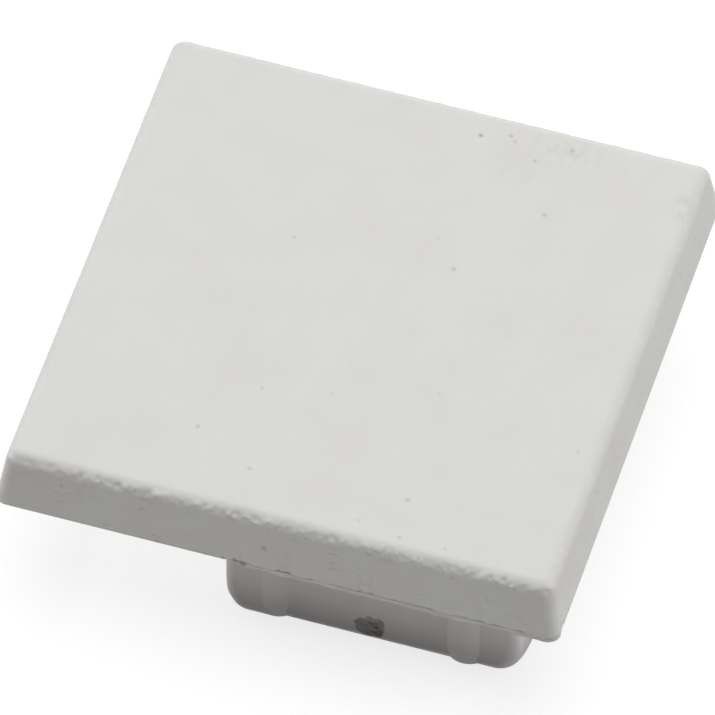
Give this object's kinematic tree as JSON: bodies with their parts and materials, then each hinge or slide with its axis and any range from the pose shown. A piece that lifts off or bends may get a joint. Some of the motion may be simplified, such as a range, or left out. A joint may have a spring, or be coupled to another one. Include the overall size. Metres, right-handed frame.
{
  "type": "profile end cap",
  "caption": "Square push-in end cap that closes the cut end of an extruded profile, with an offset plug, grip ribs and a soft-edged cover plate.",
  "frame": {"origin": "centre of the cover plate's underside, the face that closes the profile's cut end", "axes": "+Z out of the profile through the visible face of the cover, +X towards the side of the profile that holds the closed chamber"},
  "size_m": [0.02, 0.02, 0.0077],
  "materials": {
    "grey_plastic": "light grey moulding plastic, fine spark-eroded grain on the cover plate, smoother on the plug"
  },
  "bodies": {
    "root": {"end_cap": "grey_plastic"}
  },
  "joints": []
}
